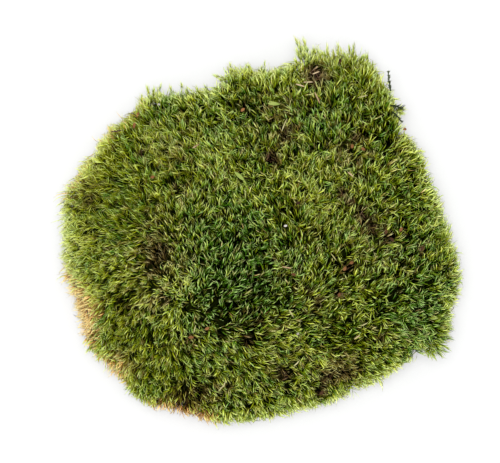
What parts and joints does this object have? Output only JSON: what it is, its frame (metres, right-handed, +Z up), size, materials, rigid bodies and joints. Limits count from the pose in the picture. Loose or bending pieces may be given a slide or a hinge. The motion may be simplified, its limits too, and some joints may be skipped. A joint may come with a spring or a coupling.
{
  "type": "dried moss cushion",
  "caption": "Low rounded cushion of dried mood moss, flat underneath, with windswept leaf tufts splaying from its crown and bits of forest litter caught in it.",
  "frame": {"origin": "on the flat cut underside, below the middle of the cushion's box", "axes": "+Z up from the cut underside to the tufts, +X along the cushion's longer side, which is to the right in the picture, and +Y towards the picture's top edge"},
  "size_m": [0.3674, 0.341, 0.0619],
  "materials": {
    "moss_green": "matte",
    "needle_tan": "matte",
    "straw_pale": "matte",
    "scale_red": "matte",
    "scale_brown": "matte",
    "fleck_white": "matte",
    "leaf_green": "matte",
    "twig_brown": "matte",
    "sprig_green": "matte"
  },
  "bodies": {
    "root": {"moss_cushion": "moss_green", "needle_01": "needle_tan", "needle_02": "needle_tan", "needle_03": "needle_tan", "needle_04": "needle_tan", "needle_05": "needle_tan", "needle_06": "needle_tan", "needle_07": "needle_tan", "needle_08": "needle_tan", "needle_09": "needle_tan", "straw_01": "straw_pale", "straw_02": "straw_pale", "straw_03": "straw_pale", "straw_04": "straw_pale", "straw_05": "straw_pale", "straw_06": "straw_pale", "straw_07": "straw_pale", "straw_08": "straw_pale", "straw_09": "straw_pale", "straw_10": "straw_pale", "red_scale_01": "scale_red", "red_scale_02": "scale_red", "red_scale_03": "scale_red", "red_scale_04": "scale_red", "red_scale_05": "scale_red", "red_scale_06": "scale_red", "red_scale_07": "scale_red", "red_scale_08": "scale_red", "red_scale_09": "scale_red", "red_scale_10": "scale_red", "red_scale_11": "scale_red", "red_scale_12": "scale_red", "brown_scale_01": "scale_brown", "brown_scale_02": "scale_brown", "brown_scale_03": "scale_brown", "brown_scale_04": "scale_brown", "brown_scale_05": "scale_brown", "brown_scale_06": "scale_brown", "brown_scale_07": "scale_brown", "brown_scale_08": "scale_brown", "wood_fleck_01": "fleck_white", "wood_fleck_02": "fleck_white", "wood_fleck_03": "fleck_white", "small_leaf_01": "leaf_green", "small_leaf_02": "leaf_green", "bare_twig": "twig_brown", "leafy_twig_01": "sprig_green", "leafy_twig_02": "sprig_green", "leafy_twig_03": "sprig_green"}
  },
  "joints": []
}
